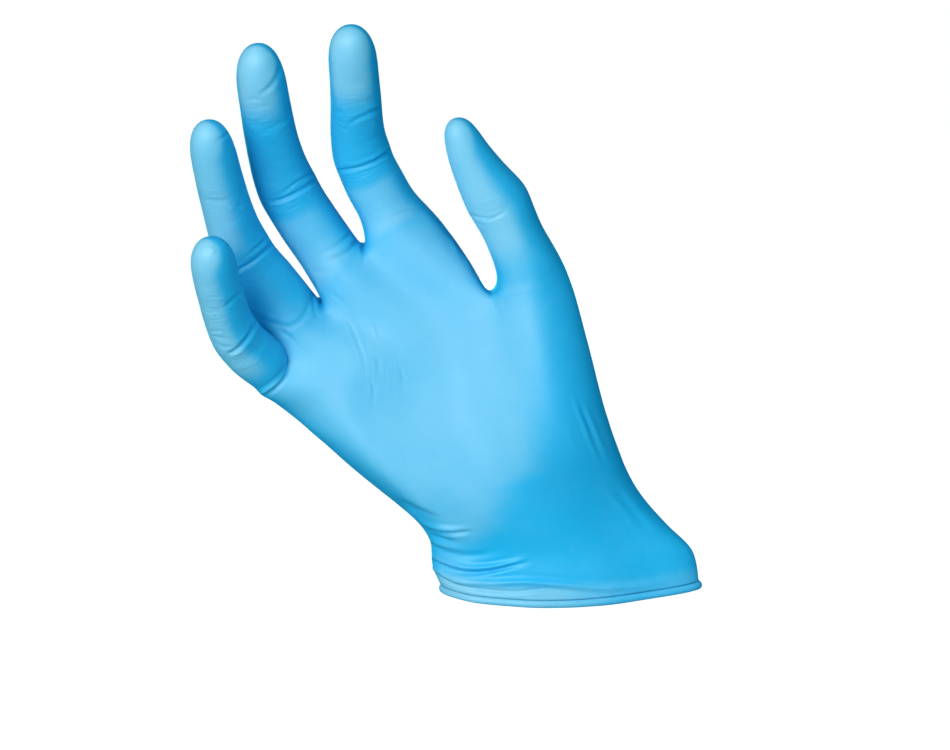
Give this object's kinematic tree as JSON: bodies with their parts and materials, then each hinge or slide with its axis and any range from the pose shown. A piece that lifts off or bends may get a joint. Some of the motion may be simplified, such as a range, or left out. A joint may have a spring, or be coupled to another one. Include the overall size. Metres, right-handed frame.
{
  "type": "nitrile exam glove",
  "caption": "Thin five-finger examination glove with a rolled cuff bead, in the form it has on a right hand while its cuff is pulled down.",
  "frame": {"origin": "where the middle line of the wrist leaves through the rolled rim of the cuff", "axes": "+Z along the cuff from the opening towards the fingertips, +X towards the thumb, palm side towards -Y"},
  "size_m": [0.1298, 0.0645, 0.1912],
  "materials": {
    "nitrile_film": "matte light blue nitrile film with a soft satin sheen"
  },
  "bodies": {
    "root": {"glove": "nitrile_film"}
  },
  "joints": []
}
